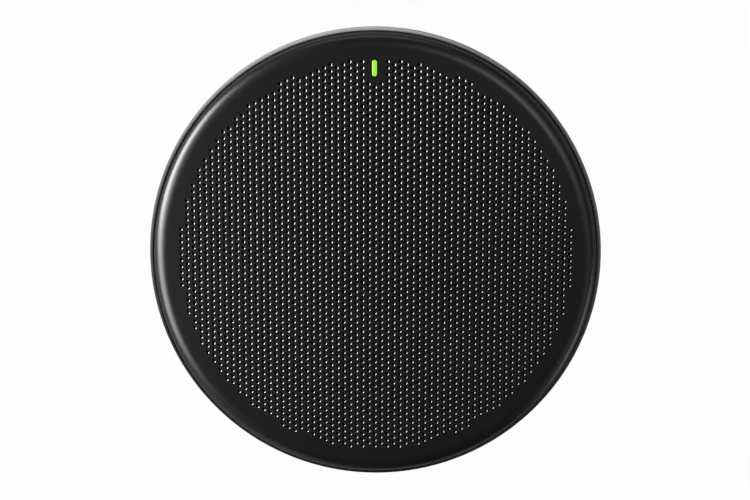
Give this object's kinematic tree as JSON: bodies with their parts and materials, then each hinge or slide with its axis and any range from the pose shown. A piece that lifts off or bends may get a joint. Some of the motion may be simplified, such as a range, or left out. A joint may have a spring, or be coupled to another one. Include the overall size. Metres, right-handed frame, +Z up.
{
  "type": "conference speakerphone",
  "caption": "Low round conference speakerphone: perforated black metal top with a slim green status light, moulded bowl base on a rubber foot ring, and a cable bay at the rear edge.",
  "frame": {"origin": "on the axis of the round body, level with the underside of the foot ring that stands on the table", "axes": "+Z up through the perforated face, +Y towards the status light and the cable bay, +X to the right with the light at the top, as in the picture"},
  "size_m": [0.146, 0.146, 0.038],
  "materials": {
    "satin_black_paint": "satin black powder coat on pressed steel",
    "black_plastic": "fine-textured moulding",
    "grey_plastic": "plain moulding",
    "green_light": "clear light pipe, lit green",
    "pale_plastic": "plain moulding",
    "chip_plastic": "moulded chip body",
    "rubber": "matt",
    "foam": "soft foam",
    "cloth": "thin black acoustic cloth",
    "circuit_board": "green lacquer",
    "steel": "plated",
    "dark_steel": "blackened",
    "ferrite": "sintered, dull",
    "paper_cone": "pressed pulp",
    "copper_winding": "lacquered copper wire",
    "amber_cloth": "resin-stiffened cloth",
    "white_film": "smooth film",
    "aluminium": "satin"
  },
  "bodies": {
    "housing": {"top_grille": "satin_black_paint", "dust_cloth": "cloth", "status_lens": "green_light", "status_led": "pale_plastic", "base_housing": "black_plastic", "foot_ring": "rubber", "baffle": "grey_plastic", "baffle_screw_1": "dark_steel", "baffle_screw_2": "dark_steel", "baffle_screw_3": "dark_steel", "baffle_screw_4": "dark_steel", "mic_board": "circuit_board", "microphone_1": "steel", "microphone_2": "steel", "microphone_3": "steel", "microphone_4": "steel", "microphone_5": "steel", "microphone_6": "steel", "mic_seal": "rubber", "mic_socket": "pale_plastic", "ribbon_cable": "white_film", "ribbon_socket": "pale_plastic", "driver_basket": "dark_steel", "driver_screw_1": "dark_steel", "driver_screw_2": "dark_steel", "driver_screw_3": "dark_steel", "driver_screw_4": "dark_steel", "driver_gasket": "foam", "driver_surround": "rubber", "driver_spider": "amber_cloth", "magnet_top_plate": "steel", "driver_magnet": "ferrite", "pole_yoke": "steel", "driver_terminal": "pale_plastic", "speaker_chamber": "grey_plastic", "lead_grommet": "rubber", "speaker_lead": "rubber", "lead_socket": "pale_plastic", "ballast_plate": "steel", "main_board": "circuit_board", "board_screw_1": "dark_steel", "board_screw_2": "dark_steel", "board_screw_3": "dark_steel", "board_screw_4": "dark_steel", "network_socket": "steel", "usb_socket": "steel", "signal_processor": "chip_plastic", "shield_can": "steel", "power_transformer": "amber_cloth", "capacitor_1": "aluminium", "capacitor_2": "aluminium", "reset_switch": "chip_plastic"},
    "cone": {"driver_cone": "paper_cone", "dust_cap": "paper_cone", "voice_coil": "copper_winding"},
    "reset": {"reset_button": "grey_plastic"}
  },
  "joints": [
    {"name": "cone_travel", "type": "slide", "parent": "housing", "child": "cone", "axis": [0, 0, 1], "range_m": [-0.002, 0.002], "stiffness_N_per_m": 1200, "deforming": ["driver_surround", "driver_spider"]},
    {"name": "reset_press", "type": "slide", "parent": "housing", "child": "reset", "axis": [0, 0, 1], "range_m": [0, 0.0005], "stiffness_N_per_m": 500}
  ]
}
